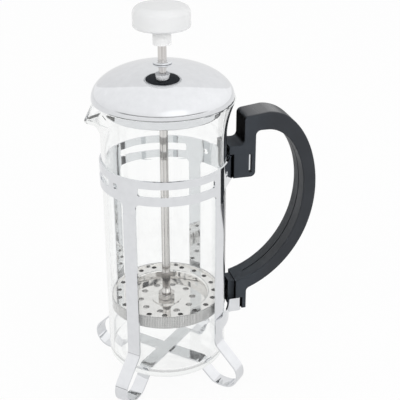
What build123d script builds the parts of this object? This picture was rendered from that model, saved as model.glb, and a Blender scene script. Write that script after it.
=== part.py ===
"""A small french press: a glass beaker in a chrome frame, a domed lid and a filter plunger.

The frame stands on four rolled feet at z = 0. The plunger runs on the Z axis.
+X points to the handle and -X to the spout. All sizes are in millimetres.
"""

import os
from math import acos, cos, degrees, hypot, radians, sin, sqrt, tan

from build123d import *

# Glass beaker
glass_radius = 35.0
glass_wall = 2.0
glass_floor = 3.0
glass_corner = 5.0
beaker_height = 161.4
rim_flare = 4.8
flare_height = 22.5
spout_reach = 3.6
spout_tip_round = 4.0
spout_drop = 9.5
spout_curl = 11.5
spout_lip = 1.6
spout_root_inset = 0.3

# Chrome frame
sheet = 1.0
glass_gap = 0.3
seat_height = 12.0
seat_gap = 0.1
weld_gap = 0.05
leg_width = 8.0
leg_angle = 45.0
leg_bend_radius = 6.0
flare_angle = 45.0
foot_reach = 14.7
foot_radius = 9.4
foot_pad = 3.0
return_angle = 42.0
return_bend_radius = 4.0
band_bottom = 124.8
band_height = 14.1
band_upper_strip = 4.4
band_slot_height = 4.6
band_slot_corner = 1.2
slot_land = 1.6
spout_slot_half_angle = 21.0
round_hole_radius = 1.8
round_hole_angle = 30.5
leg_root_length = 7.0
leg_root_fillet = 3.0

# Handle and what it clips to
fit_gap = 0.15
tongue_gap = 0.5
tongue_thickness = 1.5
tongue_width = 11.0
tongue_length = 10.0
tongue_tip = 2.0
bow_margin = 1.5
bow_round = 5.0
handle_width = 17.0
handle_reach = 52.4
handle_depth = 7.6
crest_rise = 23.9
crest_offset = 21.7
crest_depth = 10.7
crest_fall = 1.8
handle_belly = 114.0
heel_length = 60.0
heel_height = 47.5
heel_setback = 3.8
block_depth = 13.0
block_length = 14.5
block_slit = 1.8
block_slit_length = 11.0
block_leaf = 2.3
clip_recess = 1.6
shoulder_rise = 5.2
neck_depth = 7.0
handle_edge_round = 0.8
groove_width = 1.0
groove_depth = 0.7
bracket_bottom = 36.0
bracket_height = 8.8
bracket_reach = 8.5
bracket_bow_width = 16.0
bracket_fillet = 2.0
peg_depth = 6.7
peg_length = 5.0
prong_thickness = 2.6
prong_length = 7.4
prong_root_round = 3.0
neck_round = 3.0
block_round = 3.0
block_slit_rise = 3.0

# Lid
lid_sheet = 0.8
lid_inset = 0.8
lid_rise = 18.5
skirt_gap = 0.7
skirt_depth = 7.0
skirt_hem = 2.0
skirt_bend = 1.2
bush_flange_radius = 5.2
bush_flange_height = 1.2
bush_neck_radius = 3.6
bush_length = 6.0
retainer_radius = 5.6
retainer_height = 2.2
slip_gap = 0.05
run_gap = 0.08

# Plunger
rod_radius = 2.4
stud_radius = 2.0
knob_lift = 9.0
stem_radius = 5.0
stem_length = 9.0
knob_radius = 15.5
knob_height = 13.4
knob_crown = 2.6
knob_shoulder = 4.6
knob_underside_round = 1.5
knob_socket = 7.0
knob_base_margin = 0.5
knob_base_height = 1.6
filter_height = 31.0
filter_gap = 0.5
mesh_thickness = 0.6
mesh_wall_height = 7.8
plate_sheet = 0.8
plate_rise = 5.4
plate_ring_width = 8.15
plate_lip = 0.9
plate_bend = 0.6
ring_hole_radius = 1.55
ring_hole_count = 20
ring_hole_start = 3.0
floor_hole_radius = 1.9
floor_hole_count = 10
floor_hole_start = 27.0
floor_hole_inset = 8.2
spring_wire_radius = 1.3
cross_plate_inset = 5.5
cross_plate_sheet = 1.0
cross_arm_width = 8.0
cross_hub_radius = 8.0
cross_rim_width = 3.5
hub_washer_radius = 8.5
hub_washer_height = 0.6
hub_nut_across_flats = 9.4
hub_nut_height = 3.4
lower_nut_across_flats = 8.0
lower_nut_height = 4.0
nut_turn = 15.0
rod_tail = 0.8

# Heights and radii that follow from the sizes above
glass_bottom = seat_height + seat_gap
glass_inside_bottom = glass_bottom + glass_floor
rim_height = glass_bottom + beaker_height
rim_radius = glass_radius + rim_flare
bore_radius = glass_radius - glass_wall
skirt_radius = bore_radius - skirt_gap
frame_inner = glass_radius + glass_gap
frame_outer = frame_inner + sheet
band_top = band_bottom + band_height
slot_top = band_top - band_upper_strip
slot_bottom = slot_top - band_slot_height
leg_top = band_bottom - leg_root_length
lid_radius = rim_radius - lid_inset
lid_seat = rim_height + seat_gap
dome_base = lid_seat + lid_sheet
dome_apex = dome_base + lid_rise
bush_top = dome_apex + bush_flange_height
stem_bottom = bush_top + knob_lift
knob_bottom = stem_bottom + stem_length
knob_top = knob_bottom + knob_height
knob_base_radius = knob_radius - knob_underside_round - knob_base_margin
mesh_bottom = glass_inside_bottom + filter_height
mesh_radius = bore_radius - filter_gap
plate_bottom = mesh_bottom + mesh_thickness + slip_gap
ring_bottom = plate_bottom + plate_rise
plate_radius = mesh_radius - mesh_thickness - slip_gap
plate_recess_radius = plate_radius - plate_ring_width
cross_plate_radius = mesh_radius - cross_plate_inset
washer_bottom = plate_bottom + plate_sheet + slip_gap
hub_nut_bottom = washer_bottom + hub_washer_height + slip_gap
hub_nut_top = hub_nut_bottom + hub_nut_height
cross_plate_bottom = mesh_bottom - slip_gap - cross_plate_sheet
lower_nut_top = cross_plate_bottom - slip_gap
lower_nut_bottom = lower_nut_top - lower_nut_height
tongue_inner = glass_radius + tongue_gap
tongue_outer = tongue_inner + tongue_thickness
bow_inner = tongue_outer + fit_gap
bow_outer = bow_inner + sheet
bow_width = tongue_width + 2 * bow_margin
block_inner = bow_outer + fit_gap
block_outer = block_inner + block_depth
block_bottom = band_top - block_length
clip_ceiling = band_top + fit_gap
bracket_top = bracket_bottom + bracket_height
bracket_inner = hypot(frame_outer, leg_width / 2) + weld_gap
bracket_outer = bracket_inner + sheet
bracket_bow_outer = frame_outer + bracket_reach
bracket_bow_inner = bracket_bow_outer - sheet
handle_outer = frame_outer + handle_reach
handle_top = band_top + crest_rise
crest_x = frame_outer + crest_offset

os.makedirs("parts", exist_ok=True)


def finish(piece: BuildPart, name: str) -> None:
    """Label a finished piece and write it as its own STEP file."""
    piece.part.label = name
    export_step(piece.part, f"parts/{name}.step")


# Glass beaker: a blown cylinder with a flared rim and a spout curled out of it
neck_height = rim_height - flare_height
flare_radius = (rim_flare**2 + flare_height**2) / (2 * rim_flare)
spout_tip = rim_radius + spout_reach
spout_lip_height = rim_height - spout_drop - spout_lip / 2
spout_root_height = spout_lip_height - spout_curl


def flared(radius: float, height: float) -> float:
    """Radius at a height of a wall whose straight part has the given radius."""
    rise = max(height - neck_height, 0)
    return radius + flare_radius - sqrt(flare_radius**2 - rise**2)


def spout_outline(radius: float, height: float, reach: float, tip: float) -> Sketch:
    """Plan of a wall at a height: its circle, drawn out to a rounded tip on the -X side."""
    with BuildSketch(Plane.XY.offset(height)) as outline:
        Circle(flared(radius, height) - spout_root_inset)
        with Locations((tip - reach, 0)):
            Circle(tip)
        make_hull()
    return outline.sketch


def spout_curl_outlines(radius: float, lift: float, reach: float, tip: float) -> list[Sketch]:
    """Plans up the spout's underside, which curls from upright to level like a quarter ellipse."""
    root = flared(radius, spout_root_height + lift) - spout_root_inset / 3
    return [
        spout_outline(
            radius,
            spout_root_height + lift + spout_curl * sin(radians(turn)),
            root + (reach - root) * (1 - cos(radians(turn))),
            tip,
        )
        for turn in (0, 30, 55, 75, 90)
    ]


outer_curl = spout_curl_outlines(glass_radius, 0, spout_tip, spout_tip_round)
outer_mouth = spout_outline(glass_radius, rim_height, spout_tip, spout_tip_round)
spout_channel = spout_tip - glass_wall
channel_round = spout_tip_round - glass_wall
inner_curl = spout_curl_outlines(bore_radius, spout_lip, spout_channel, channel_round)
inner_mouth = spout_outline(bore_radius, rim_height, spout_channel, channel_round)
with BuildPart() as glass_beaker:
    with BuildSketch(Plane.XZ):
        with BuildLine():
            Line((0, glass_bottom), (glass_radius - glass_corner, glass_bottom))
            RadiusArc(
                (glass_radius - glass_corner, glass_bottom),
                (glass_radius, glass_bottom + glass_corner),
                -glass_corner,
            )
            Line((glass_radius, glass_bottom + glass_corner), (glass_radius, neck_height))
            TangentArc((glass_radius, neck_height), (rim_radius, rim_height), tangent=(0, 1))
            Line((rim_radius, rim_height), (0, rim_height))
            Line((0, rim_height), (0, glass_bottom))
        make_face()
    revolve(axis=Axis.Z)
    loft(outer_curl)
    loft([outer_curl[-1], outer_mouth], ruled=True)
    with BuildSketch(Plane.XZ):
        with BuildLine():
            Line((0, glass_inside_bottom), (bore_radius - glass_corner, glass_inside_bottom))
            RadiusArc(
                (bore_radius - glass_corner, glass_inside_bottom),
                (bore_radius, glass_inside_bottom + glass_corner),
                -glass_corner,
            )
            Line((bore_radius, glass_inside_bottom + glass_corner), (bore_radius, neck_height))
            TangentArc(
                (bore_radius, neck_height), (rim_radius - glass_wall, rim_height), tangent=(0, 1)
            )
            Line((rim_radius - glass_wall, rim_height), (0, rim_height))
            Line((0, rim_height), (0, glass_inside_bottom))
        make_face()
    revolve(axis=Axis.Z, mode=Mode.SUBTRACT)
    loft(inner_curl, mode=Mode.SUBTRACT)
    loft([inner_curl[-1], inner_mouth], ruled=True, mode=Mode.SUBTRACT)
    # The lip slopes down at 45 degrees from the rim to the spout's tip
    with BuildSketch(Plane.XZ):
        with BuildLine():
            Polyline(
                (spout_drop - spout_tip, rim_height),
                (-spout_tip - glass_wall, rim_height),
                (-spout_tip - glass_wall, rim_height - spout_drop - glass_wall),
                close=True,
            )
        make_face()
    extrude(amount=rim_radius, both=True, mode=Mode.SUBTRACT)
finish(glass_beaker, "glass_beaker")


# Frame band: a slotted strip drawn round the beaker and the handle's tongue, with four leg roots
def radial_plane(angle: float) -> Plane:
    """Upright plane through the Z axis: its x runs outward at the angle, its y runs up."""
    outward = (cos(radians(angle)), sin(radians(angle)), 0)
    across = (sin(radians(angle)), -cos(radians(angle)), 0)
    return Plane(origin=(0, 0, 0), x_dir=outward, z_dir=across)


def facing_plane(angle: float, height: float) -> Plane:
    """Upright plane on the Z axis at a height, facing outward at the angle, its y running up."""
    outward = (cos(radians(angle)), sin(radians(angle)), 0)
    across = (-sin(radians(angle)), cos(radians(angle)), 0)
    return Plane(origin=(0, 0, height), x_dir=across, z_dir=outward)


def slot_cutter(half_angle: float) -> Part:
    """A round-cornered slot through the band, centred on +X and half_angle wide each way."""
    with BuildPart() as cutter:
        with BuildSketch(radial_plane(-half_angle)):
            with Locations((frame_outer, (slot_top + slot_bottom) / 2)):
                Rectangle(4 * sheet, band_slot_height)
        revolve(axis=Axis.Z, revolution_arc=2 * half_angle)
        radial_edges = cutter.edges().filter_by(GeomType.LINE).filter_by(Axis.Z, reverse=True)
        fillet(radial_edges, band_slot_corner)
    return cutter.part


# One leg root on +X, curved like the band and filleted into its lower edge
with BuildPart() as leg_root:
    with BuildSketch(Plane.XY.offset(leg_top)):
        Circle(frame_outer)
        Circle(frame_inner, mode=Mode.SUBTRACT)
    extrude(amount=leg_root_length)
    with BuildSketch(facing_plane(0, band_bottom)):
        with BuildLine():
            Line((-leg_width / 2 - leg_root_fillet, 0), (leg_width / 2 + leg_root_fillet, 0))
            RadiusArc(
                (leg_width / 2 + leg_root_fillet, 0),
                (leg_width / 2, -leg_root_fillet),
                -leg_root_fillet,
            )
            Polyline(
                (leg_width / 2, -leg_root_fillet),
                (leg_width / 2, -leg_root_length),
                (-leg_width / 2, -leg_root_length),
                (-leg_width / 2, -leg_root_fillet),
            )
            RadiusArc(
                (-leg_width / 2, -leg_root_fillet),
                (-leg_width / 2 - leg_root_fillet, 0),
                -leg_root_fillet,
            )
        make_face()
    extrude(amount=bow_outer, mode=Mode.INTERSECT)

leg_half_angle = degrees(leg_width / 2 / frame_outer)
side_slot = slot_cutter(leg_angle - leg_half_angle - degrees(slot_land / frame_outer))
spout_slot = slot_cutter(spout_slot_half_angle)
with BuildPart() as frame_band:
    with BuildSketch(Plane.XY.offset(band_bottom)) as band_plan:
        with BuildLine():
            CenterArc((0, 0), frame_outer, 0, 360)
            Line((bow_outer, -bow_width / 2), (bow_outer, bow_width / 2))
        make_hull()
        fillet(band_plan.vertices().group_by(Axis.X)[-1], bow_round)
        offset(amount=-sheet, mode=Mode.SUBTRACT)
    extrude(amount=band_height)
    with PolarLocations(0, 2, start_angle=90):
        add(side_slot, mode=Mode.SUBTRACT)
    with Locations(Location((0, 0, 0), (0, 0, 180))):
        add(spout_slot, mode=Mode.SUBTRACT)
    for middle in (0, 180):
        for side in (-round_hole_angle, round_hole_angle):
            with BuildSketch(facing_plane(middle + side, (slot_top + slot_bottom) / 2)):
                Circle(round_hole_radius)
            extrude(amount=bow_outer, mode=Mode.SUBTRACT)
    with PolarLocations(0, 4, start_angle=leg_angle):
        add(leg_root.part)
finish(frame_band, "frame_band")


# Leg straps: each runs down one leg, round its foot, under the beaker and up the opposite leg
def leg_strap(angle: float, underside: float) -> BuildPart:
    """One strap in the upright plane at the angle, whose middle lies at the underside height."""
    foot_outer = frame_outer + foot_reach
    flare_bottom = foot_radius * (1 + tan(radians(flare_angle / 2))) + weld_gap
    flare_top = flare_bottom + foot_reach / tan(radians(flare_angle))
    return_start = foot_outer - foot_pad - foot_radius * (1 + tan(radians(return_angle / 2)))
    return_end = return_start - underside / tan(radians(return_angle))
    half_path = [
        (frame_outer, leg_top),
        (frame_outer, flare_top),
        (foot_outer, flare_bottom),
        (foot_outer, 0),
        (return_start, 0),
        (return_end, underside),
    ]
    half_bends = [leg_bend_radius, foot_radius, foot_radius, foot_radius, return_bend_radius]
    path = half_path + [(-x, z) for x, z in reversed(half_path)]
    with BuildPart() as strap:
        with BuildSketch(radial_plane(angle)):
            with BuildLine():
                FilletPolyline(*path, radius=half_bends + half_bends[::-1])
                offset(amount=sheet, side=Side.RIGHT)
            make_face()
        extrude(amount=leg_width / 2, both=True)
    return strap


leg_strap_a = leg_strap(-180 + leg_angle, seat_height - sheet)
finish(leg_strap_a, "leg_strap_a")
leg_strap_b = leg_strap(-leg_angle, seat_height - 2 * sheet - weld_gap)
finish(leg_strap_b, "leg_strap_b")

# Handle bracket: a strip welded across the two legs at the handle and bowed out between them
bracket_end = bracket_inner * cos(radians(leg_angle) + (leg_width / 2 + sheet) / frame_outer)
with BuildPart() as handle_bracket:
    with BuildSketch(Plane.XY.offset(bracket_bottom)) as bracket_plan:
        Circle(bracket_outer)
        with Locations((bracket_bow_outer / 2, 0)):
            Rectangle(bracket_bow_outer, bracket_bow_width)
        fillet(bracket_plan.vertices(), bracket_fillet)
        offset(amount=-sheet, mode=Mode.SUBTRACT)
        with Locations((bracket_end, 0)):
            Rectangle(
                bracket_bow_outer,
                2 * bracket_outer,
                align=(Align.MIN, Align.CENTER),
                mode=Mode.INTERSECT,
            )
    extrude(amount=bracket_height)
finish(handle_bracket, "handle_bracket")

# Handle: a moulded D that hooks over the band and straddles the bracket
neck_x = block_outer - neck_depth
shoulder_top = clip_ceiling + shoulder_rise
crest_under = handle_top - crest_depth
prong_inner = bracket_bow_outer + fit_gap
prong_outer = prong_inner + prong_thickness
prong_bottom = bracket_top - prong_length
heel_seat = bracket_top + fit_gap
peg_outer = bracket_bow_inner - fit_gap
peg_inner = peg_outer - peg_depth
heel_inner = peg_inner + heel_setback
peg_width = bracket_bow_width - 2 * sheet - 2 * bracket_fillet
heel_x = handle_outer - heel_length
heel_drop = handle_belly - heel_height
grip_inner = handle_outer - handle_depth
prong_angle = degrees(acos((prong_outer - heel_x) / heel_length))
prong_top = handle_belly - heel_drop * sin(radians(prong_angle))
heel_angle = degrees(acos((heel_inner - heel_x) / (heel_length - handle_depth)))
heel_top = handle_belly - (heel_drop - handle_depth) * sin(radians(heel_angle))
peg_angle = degrees(acos((peg_inner - heel_x) / (heel_length - handle_depth)))
peg_top = handle_belly - (heel_drop - handle_depth) * sin(radians(peg_angle))
slit_middle = block_bottom + block_slit_rise + block_slit_length / 2
slit_outer = block_outer - block_leaf
with BuildPart() as handle:
    # Side view: the bow's outer curve, the prong and heel, the inner curve, then block and crest
    with BuildSketch(Plane.XZ) as handle_outline:
        with BuildLine():
            EllipticalCenterArc(
                (crest_x, handle_belly),
                handle_outer - crest_x,
                handle_top - handle_belly,
                start_angle=0,
                arc_size=90,
            )
            EllipticalCenterArc(
                (heel_x, handle_belly),
                heel_length,
                heel_drop,
                start_angle=-prong_angle,
                arc_size=prong_angle,
            )
            Polyline(
                (prong_outer, prong_top),
                (prong_outer, prong_bottom),
                (prong_inner, prong_bottom),
                (prong_inner, heel_seat),
                (heel_inner, heel_seat),
                (heel_inner, heel_top),
            )
            EllipticalCenterArc(
                (heel_x, handle_belly),
                heel_length - handle_depth,
                heel_drop - handle_depth,
                start_angle=-heel_angle,
                arc_size=heel_angle,
            )
            EllipticalCenterArc(
                (crest_x, handle_belly),
                grip_inner - crest_x,
                crest_under - handle_belly,
                start_angle=0,
                arc_size=90,
            )
            FilletPolyline(
                (crest_x, crest_under),
                (block_outer, crest_under),
                (block_outer, block_bottom),
                (block_inner, block_bottom),
                (block_inner, clip_ceiling),
                (tongue_inner, clip_ceiling),
                (tongue_inner, shoulder_top),
                (neck_x, shoulder_top),
                (neck_x, handle_top - crest_fall),
                (crest_x, handle_top),
                radius=[neck_round, block_round, 0, 0, 0, 0, neck_round, neck_round],
            )
        make_face()
        fillet(
            handle_outline.vertices().sort_by_distance((prong_outer, prong_top))[0],
            prong_root_round,
        )
        with Locations((slit_outer, slit_middle)):
            Rectangle(
                block_slit,
                block_slit_length,
                align=(Align.MAX, Align.CENTER),
                mode=Mode.SUBTRACT,
            )
    extrude(amount=handle_width / 2, both=True)
    side_faces = handle.faces().filter_by(Axis.Y).sort_by(Axis.Y)
    fillet([side.outer_wire().edges() for side in side_faces], handle_edge_round)
    # Groove along the middle of the grip's inner face
    with BuildSketch(Plane.XZ):
        with Locations((crest_x, handle_belly)):
            Ellipse(grip_inner - crest_x + groove_depth, crest_under - handle_belly + groove_depth)
            Rectangle(
                handle_reach, handle_top, align=(Align.MIN, Align.MIN), mode=Mode.INTERSECT
            )
    extrude(amount=groove_width / 2, both=True, mode=Mode.SUBTRACT)
    with BuildSketch(Plane.XZ):
        with Locations((heel_x, handle_belly)):
            Ellipse(
                heel_length - handle_depth + groove_depth,
                heel_drop - handle_depth + groove_depth,
            )
        with Locations((prong_outer, handle_belly)):
            Rectangle(
                handle_reach, handle_top, align=(Align.MIN, Align.MAX), mode=Mode.INTERSECT
            )
    extrude(amount=groove_width / 2, both=True, mode=Mode.SUBTRACT)
    # Tongue inside the band's bow, pointed at its tip
    with BuildSketch(Plane.YZ.offset(tongue_inner)):
        with BuildLine():
            Polyline(
                (-tongue_width / 2, shoulder_top - handle_edge_round),
                (-tongue_width / 2, band_top - tongue_length + tongue_tip),
                (-tongue_width / 2 + tongue_tip, band_top - tongue_length),
                (tongue_width / 2 - tongue_tip, band_top - tongue_length),
                (tongue_width / 2, band_top - tongue_length + tongue_tip),
                (tongue_width / 2, shoulder_top - handle_edge_round),
                close=True,
            )
        make_face()
    extrude(amount=tongue_thickness)
    # Peg that drops inside the bracket's bow
    with BuildSketch(Plane.XZ):
        with Locations((peg_inner, bracket_top - peg_length)):
            Rectangle(peg_depth, peg_top - bracket_top + peg_length, align=(Align.MIN, Align.MIN))
    extrude(amount=peg_width / 2, both=True)
finish(handle, "handle")

# Handle clip: a steel strip in the block's slit that keeps the outer leaf sprung
with BuildPart() as handle_clip:
    with BuildSketch(Plane.XZ):
        with Locations((slit_outer - block_slit / 2, slit_middle)):
            Rectangle(block_slit - 2 * slip_gap, block_slit_length - 2 * slip_gap)
    extrude(amount=handle_width / 2 - clip_recess, both=True)
finish(handle_clip, "handle_clip")

# Lid dome: a thin pressed dome with a hole for the bush
with BuildPart() as lid_dome:
    with BuildSketch(Plane.XZ):
        with Locations((0, dome_base)):
            Ellipse(lid_radius, lid_rise)
            Ellipse(lid_radius - lid_sheet, lid_rise - lid_sheet, mode=Mode.SUBTRACT)
            with Locations((bush_neck_radius + slip_gap, 0)):
                Rectangle(lid_radius, lid_rise, align=(Align.MIN, Align.MIN), mode=Mode.INTERSECT)
    revolve(axis=Axis.Z)
finish(lid_dome, "lid_dome")

# Lid flange: the flat ring under the dome that sits on the beaker's rim
with BuildPart() as lid_flange:
    with BuildSketch(Plane.XY.offset(lid_seat)):
        Circle(lid_radius)
        Circle(skirt_radius - lid_sheet, mode=Mode.SUBTRACT)
    extrude(amount=lid_sheet)
finish(lid_flange, "lid_flange")

# Lid skirt: a hemmed ring that hangs from the flange inside the beaker's mouth
with BuildPart() as lid_skirt:
    with BuildSketch(Plane.XZ):
        with BuildLine():
            FilletPolyline(
                (skirt_radius - skirt_hem, lid_seat - skirt_depth),
                (skirt_radius, lid_seat - skirt_depth),
                (skirt_radius, lid_seat),
                radius=[skirt_bend],
            )
            offset(amount=lid_sheet, side=Side.LEFT)
        make_face()
    revolve(axis=Axis.Z)
finish(lid_skirt, "lid_skirt")

# Rod bush and the ring that holds it under the dome
bush_bottom = dome_apex - bush_length
with BuildPart() as rod_bush:
    with BuildSketch(Plane.XY.offset(bush_bottom)):
        Circle(bush_neck_radius)
    extrude(amount=bush_length)
    with BuildSketch(Plane.XY.offset(dome_apex)):
        Circle(bush_flange_radius)
    extrude(amount=bush_flange_height)
    flange_rim = rod_bush.edges().filter_by(GeomType.CIRCLE).group_by(Axis.Z)[-1]
    fillet(flange_rim, bush_flange_height / 2)
    with BuildSketch(Plane.XY.offset(bush_bottom)):
        Circle(rod_radius + run_gap)
    extrude(amount=bush_length + bush_flange_height, mode=Mode.SUBTRACT)
finish(rod_bush, "rod_bush")

dome_inner_radius = lid_radius - lid_sheet
dome_inner_rise = lid_rise - lid_sheet
retainer_sag = dome_inner_rise * (1 - sqrt(1 - (retainer_radius / dome_inner_radius) ** 2))
retainer_top = dome_apex - lid_sheet - retainer_sag - slip_gap
with BuildPart() as bush_retainer:
    with BuildSketch(Plane.XY.offset(retainer_top)):
        Circle(retainer_radius)
        Circle(bush_neck_radius + slip_gap, mode=Mode.SUBTRACT)
    extrude(amount=-retainer_height)
finish(bush_retainer, "bush_retainer")

# Plunger rod: a plain rod with a thinner threaded stud through the filter stack
rod_top = knob_bottom + knob_socket
rod_bottom = lower_nut_bottom - rod_tail
with BuildPart() as plunger_rod:
    with BuildSketch(Plane.XY.offset(hub_nut_top)):
        Circle(rod_radius)
    extrude(amount=rod_top - hub_nut_top)
    with BuildSketch(Plane.XY.offset(rod_bottom)):
        Circle(stud_radius)
    extrude(amount=hub_nut_top - rod_bottom)
finish(plunger_rod, "plunger_rod")

# Knob and the collar under it
with BuildPart() as knob_stem:
    with BuildSketch(Plane.XY.offset(stem_bottom)):
        Circle(stem_radius)
        Circle(rod_radius + slip_gap, mode=Mode.SUBTRACT)
    extrude(amount=stem_length)
finish(knob_stem, "knob_stem")

with BuildPart() as knob:
    with BuildSketch(Plane.XZ):
        with BuildLine():
            Line((0, knob_bottom), (knob_radius, knob_bottom))
            Line((knob_radius, knob_bottom), (knob_radius, knob_top - knob_crown))
            TangentArc((0, knob_top), (knob_radius, knob_top - knob_crown), tangent=(1, 0))
            Line((0, knob_top), (0, knob_bottom))
        make_face()
    revolve(axis=Axis.Z)
    fillet(knob.edges().filter_by(Plane.XY).sort_by(Axis.Z)[0], knob_underside_round)
    fillet(knob.edges().filter_by(Plane.XY).sort_by(Axis.Z)[-1], knob_shoulder)
    with BuildSketch(Plane.XY.offset(knob_bottom)):
        Circle(knob_base_radius + slip_gap)
    extrude(amount=knob_base_height + slip_gap, mode=Mode.SUBTRACT)
    with BuildSketch(Plane.XY.offset(knob_bottom)):
        Circle(rod_radius + slip_gap)
    extrude(amount=knob_socket + slip_gap, mode=Mode.SUBTRACT)
finish(knob, "knob")

# Knob base: the dark disc let into the knob's underside
with BuildPart() as knob_base:
    with BuildSketch(Plane.XY.offset(knob_bottom)):
        Circle(knob_base_radius)
        Circle(rod_radius + slip_gap, mode=Mode.SUBTRACT)
    extrude(amount=knob_base_height)
finish(knob_base, "knob_base")

# Filter plate: a dished strainer with a turned-up lip and rings of holes
ring_hole_circle = (plate_recess_radius + plate_rise / 4 + plate_radius) / 2
floor_hole_circle = plate_recess_radius - floor_hole_inset
with BuildPart() as filter_plate:
    with BuildSketch(Plane.XZ):
        with BuildLine():
            FilletPolyline(
                (stud_radius + slip_gap, plate_bottom),
                (plate_recess_radius, plate_bottom),
                (plate_recess_radius + plate_rise / 4, ring_bottom),
                (plate_radius, ring_bottom),
                (plate_radius, ring_bottom + plate_sheet + plate_lip),
                radius=plate_bend,
            )
            offset(amount=plate_sheet, side=Side.LEFT)
        make_face()
    revolve(axis=Axis.Z)
    with BuildSketch(Plane.XY.offset(plate_bottom)):
        with PolarLocations(ring_hole_circle, ring_hole_count, ring_hole_start):
            Circle(ring_hole_radius)
        with PolarLocations(floor_hole_circle, floor_hole_count, floor_hole_start):
            Circle(floor_hole_radius)
    extrude(amount=plate_rise + plate_sheet, mode=Mode.SUBTRACT)
finish(filter_plate, "filter_plate")

# Mesh filter: a woven steel disc with its edge turned up against the glass
mesh_bend = spring_wire_radius
with BuildPart() as mesh_filter:
    with BuildSketch(Plane.XZ):
        with BuildLine():
            FilletPolyline(
                (stud_radius + slip_gap, mesh_bottom),
                (mesh_radius, mesh_bottom),
                (mesh_radius, mesh_bottom + mesh_wall_height),
                radius=mesh_bend,
            )
            offset(amount=mesh_thickness, side=Side.LEFT)
        make_face()
    revolve(axis=Axis.Z)
finish(mesh_filter, "mesh_filter")

# Spring ring: presses the mesh edge outward, hidden under the plate
spring_circle = plate_radius - spring_wire_radius
spring_height = mesh_bottom + mesh_thickness + slip_gap + spring_wire_radius
with BuildPart() as spring_ring:
    with BuildSketch(Plane.XZ):
        with Locations((spring_circle, spring_height)):
            Circle(spring_wire_radius)
    revolve(axis=Axis.Z)
finish(spring_ring, "spring_ring")

# Cross plate: the open plate that backs the mesh from below
with BuildPart() as cross_plate:
    with BuildSketch(Plane.XY.offset(cross_plate_bottom)):
        Circle(cross_plate_radius)
        Circle(cross_plate_radius - cross_rim_width, mode=Mode.SUBTRACT)
        Circle(cross_hub_radius)
        Rectangle(2 * cross_plate_radius - cross_rim_width, cross_arm_width)
        Rectangle(cross_arm_width, 2 * cross_plate_radius - cross_rim_width)
        Circle(stud_radius + slip_gap, mode=Mode.SUBTRACT)
    extrude(amount=cross_plate_sheet)
finish(cross_plate, "cross_plate")

# Washer and nuts that clamp the filter stack on the rod
with BuildPart() as hub_washer:
    with BuildSketch(Plane.XY.offset(washer_bottom)):
        Circle(hub_washer_radius)
        Circle(stud_radius + slip_gap, mode=Mode.SUBTRACT)
    extrude(amount=hub_washer_height)
finish(hub_washer, "hub_washer")


def hex_nut(bottom: float, across_flats: float, height: float) -> BuildPart:
    """A hex nut on the stud, standing on the bottom height."""
    with BuildPart() as nut:
        with BuildSketch(Plane.XY.offset(bottom)):
            RegularPolygon(across_flats / 2, 6, major_radius=False, rotation=nut_turn)
            Circle(stud_radius + slip_gap, mode=Mode.SUBTRACT)
        extrude(amount=height)
    return nut


hub_nut = hex_nut(hub_nut_bottom, hub_nut_across_flats, hub_nut_height)
finish(hub_nut, "hub_nut")
lower_nut = hex_nut(lower_nut_bottom, lower_nut_across_flats, lower_nut_height)
finish(lower_nut, "lower_nut")
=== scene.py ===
"""Dress a small french press: finishes, fine pieces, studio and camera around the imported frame."""

import logging
import math
from abc import ABC, abstractmethod
from collections.abc import Callable, Iterator
from contextlib import contextmanager
from dataclasses import dataclass
from enum import Enum

import bpy
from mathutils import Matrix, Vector

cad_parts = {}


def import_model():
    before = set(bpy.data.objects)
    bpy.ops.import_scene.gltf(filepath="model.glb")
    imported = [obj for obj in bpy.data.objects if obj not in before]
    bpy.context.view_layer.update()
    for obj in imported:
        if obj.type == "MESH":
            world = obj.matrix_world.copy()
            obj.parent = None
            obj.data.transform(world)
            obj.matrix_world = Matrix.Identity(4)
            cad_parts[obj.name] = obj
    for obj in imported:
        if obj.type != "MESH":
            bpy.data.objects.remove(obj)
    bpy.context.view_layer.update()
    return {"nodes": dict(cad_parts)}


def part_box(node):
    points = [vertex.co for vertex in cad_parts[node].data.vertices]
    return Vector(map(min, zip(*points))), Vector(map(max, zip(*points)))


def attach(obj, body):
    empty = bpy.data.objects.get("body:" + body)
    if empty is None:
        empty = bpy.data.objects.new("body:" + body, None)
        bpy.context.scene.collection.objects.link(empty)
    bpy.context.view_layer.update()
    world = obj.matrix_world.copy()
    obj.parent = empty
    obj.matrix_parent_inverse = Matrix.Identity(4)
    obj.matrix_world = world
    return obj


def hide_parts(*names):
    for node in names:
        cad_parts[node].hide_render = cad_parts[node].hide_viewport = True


LOG = logging.getLogger("french_press")
MM = 0.001
FULL_TURN = 2.0 * math.pi
QUARTER_TURN = math.radians(90.0)
TO_THE_RIGHT = 90.0
BEHIND_THE_CAMERA = 180.0

Color = tuple[float, float, float]
Point = tuple[float, float, float]
Range = tuple[float, float]
Socket = bpy.types.NodeSocket
Value = Socket | float | tuple[float, ...]


class Body(Enum):
    """The moving bodies of the press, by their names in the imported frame."""

    FRAME = "frame"
    BEAKER = "beaker"
    LID = "lid"
    PLUNGER = "plunger"


class MixKind(Enum):
    """What a Mix node mixes, with the places of its three inputs and its output."""

    FLOAT = (0, 2, 3, 0)
    RGBA = (0, 6, 7, 2)


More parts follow.
